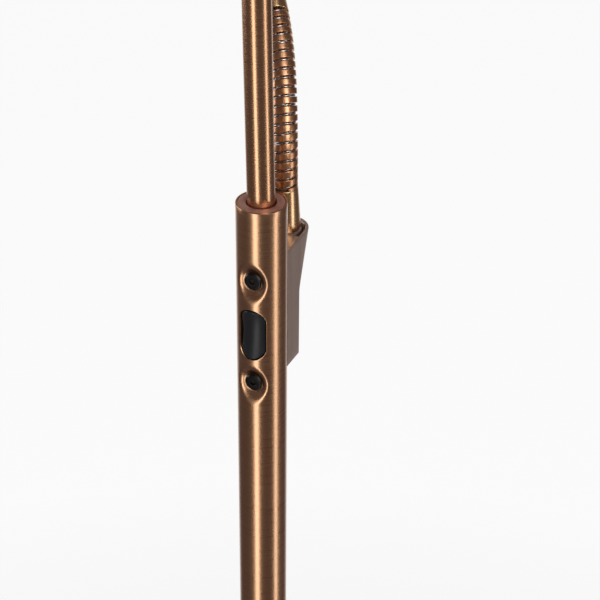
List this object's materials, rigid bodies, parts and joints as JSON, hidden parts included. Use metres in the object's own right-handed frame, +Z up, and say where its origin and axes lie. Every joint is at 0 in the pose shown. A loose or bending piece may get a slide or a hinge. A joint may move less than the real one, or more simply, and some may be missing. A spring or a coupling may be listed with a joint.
{
  "type": "floor lamp",
  "caption": "Free-standing floor lamp with a tilting uplighter bowl on a thin upper pole, a rocker switch in the wide lower pole and a reading head on a bending neck.",
  "frame": {"origin": "middle of the base's underside, on the floor, in the pole's axis", "axes": "+Z up along the pole, -Y towards the switch, +Y towards the reading arm's bracket, +X to the right seen from the switch"},
  "size_m": [0.3337, 0.4254, 1.823],
  "materials": {
    "brushed_copper": "antique copper-bronze, finely brushed round the tube, satin lacquer",
    "bracket_bronze": "antique copper-bronze, brushed lengthwise",
    "turned_bronze": "lathe-turned bronze with fine rings",
    "gold_bronze": "satin golden bronze",
    "neck_copper": "satin copper-bronze band, slightly rounded",
    "neck_steel": "bright round steel wire",
    "black_plastic": "black satin plastic",
    "black_screw": "black oxide steel",
    "zinc_steel": "zinc-plated steel",
    "cast_iron": "rough black casting",
    "pad_rubber": "soft black pad",
    "black_rubber": "black rubber",
    "heat_aluminium": "plain aluminium",
    "led_board": "white solder mask with yellow light sources",
    "opal_acrylic": "opal satin acrylic",
    "frosted_lens": "frosted acrylic"
  },
  "bodies": {
    "lamp": {"base_pad": "pad_rubber", "base_weight": "cast_iron", "base_cover": "brushed_copper", "base_washer": "zinc_steel", "base_nut": "zinc_steel", "base_threaded_rod": "zinc_steel", "base_collar": "turned_bronze", "cord_inlet": "black_rubber", "pole_foot_plug": "zinc_steel", "pole_lower_tube": "brushed_copper", "pole_coupler": "zinc_steel", "pole_switch_tube": "brushed_copper", "pole_bush": "turned_bronze", "upper_pole": "brushed_copper", "upper_pole_plug": "zinc_steel", "upper_pole_rod": "zinc_steel", "upper_pole_nut": "zinc_steel", "switch_pivot_pin": "zinc_steel", "switch_body": "black_plastic", "switch_frame": "zinc_steel", "switch_screws": "black_screw", "arm_bracket": "bracket_bronze", "bracket_plate": "bracket_bronze", "neck_stud": "zinc_steel", "neck_nut": "zinc_steel", "neck_foot": "gold_bronze", "neck_coil_0": "neck_copper", "uplight_fork": "turned_bronze", "uplight_pin": "zinc_steel"},
    "rocker": {"switch_rocker": "black_plastic"},
    "neck_1": {"neck_coil_1": "neck_copper", "neck_core_1": "neck_steel"},
    "neck_2": {"neck_coil_2": "neck_copper", "neck_core_2": "neck_steel"},
    "neck_3": {"neck_coil_3": "neck_copper", "neck_core_3": "neck_steel"},
    "neck_4": {"neck_coil_4": "neck_copper", "neck_core_4": "neck_steel"},
    "neck_5": {"neck_coil_5": "neck_copper", "neck_core_5": "neck_steel"},
    "neck_6": {"neck_coil_6": "neck_copper", "neck_core_6": "neck_steel"},
    "arm": {"neck_coil_7": "neck_copper", "arm_ferrule": "neck_copper", "arm_tube": "brushed_copper", "head_fork": "turned_bronze", "head_pin": "zinc_steel"},
    "head": {"head_tongue": "turned_bronze", "head_shade": "brushed_copper", "head_bezel": "black_plastic", "head_lens": "frosted_lens", "head_heat_sink": "heat_aluminium", "head_led_board": "led_board"},
    "uplighter": {"uplight_tongue": "turned_bronze", "uplight_bowl": "brushed_copper", "uplight_screws": "black_screw", "uplight_heat_sink": "heat_aluminium", "uplight_led_board": "led_board", "uplight_ledge": "heat_aluminium", "uplight_diffuser": "opal_acrylic"}
  },
  "joints": [
    {"name": "rocker_press", "type": "hinge", "parent": "lamp", "child": "rocker", "pos_m": [0, -0.0076, 1.1034], "axis": [1, 0, 0], "range_deg": [-5, 5], "stiffness_Nm_per_rad": 0.05},
    {"name": "neck_bend_1", "type": "hinge", "parent": "lamp", "child": "neck_1", "pos_m": [-0.0004, 0.02992, 1.18521], "axis": [-0.8994, -0.4371, 0], "range_deg": [-10, 8]},
    {"name": "neck_side_1", "type": "hinge", "parent": "neck_1", "child": "neck_2", "pos_m": [-0.00177, 0.03272, 1.19779], "axis": [-0.4226, 0.8507, -0.3126], "range_deg": [-13, 13]},
    {"name": "neck_bend_2", "type": "hinge", "parent": "neck_2", "child": "neck_3", "pos_m": [-0.00399, 0.03709, 1.2098], "axis": [-0.8885, -0.4589, 0], "range_deg": [-10, 8]},
    {"name": "neck_side_2", "type": "hinge", "parent": "neck_3", "child": "neck_4", "pos_m": [-0.007, 0.04277, 1.22107], "axis": [-0.4, 0.7337, -0.5492], "range_deg": [-13, 13]},
    {"name": "neck_bend_3", "type": "hinge", "parent": "neck_4", "child": "neck_5", "pos_m": [-0.01082, 0.04954, 1.23146], "axis": [-0.8636, -0.5042, 0], "range_deg": [-10, 8]},
    {"name": "neck_side_3", "type": "hinge", "parent": "neck_5", "child": "neck_6", "pos_m": [-0.01546, 0.05717, 1.24087], "axis": [-0.3663, 0.5782, -0.7291], "range_deg": [-13, 13]},
    {"name": "neck_bend_4", "type": "hinge", "parent": "neck_6", "child": "arm", "pos_m": [-0.02096, 0.06545, 1.2492], "axis": [-0.821, -0.571, 0], "range_deg": [-10, 8]},
    {"name": "head_tilt", "type": "hinge", "parent": "arm", "child": "head", "pos_m": [-0.1422, 0.22661, 1.37572], "axis": [-0.7986, -0.6018, 0], "range_deg": [-75, 12]},
    {"name": "uplight_tilt", "type": "hinge", "parent": "lamp", "child": "uplighter", "pos_m": [-0.00816, -0.00394, 1.74693], "axis": [0, 1, 0.0068], "range_deg": [-45, 45]}
  ]
}
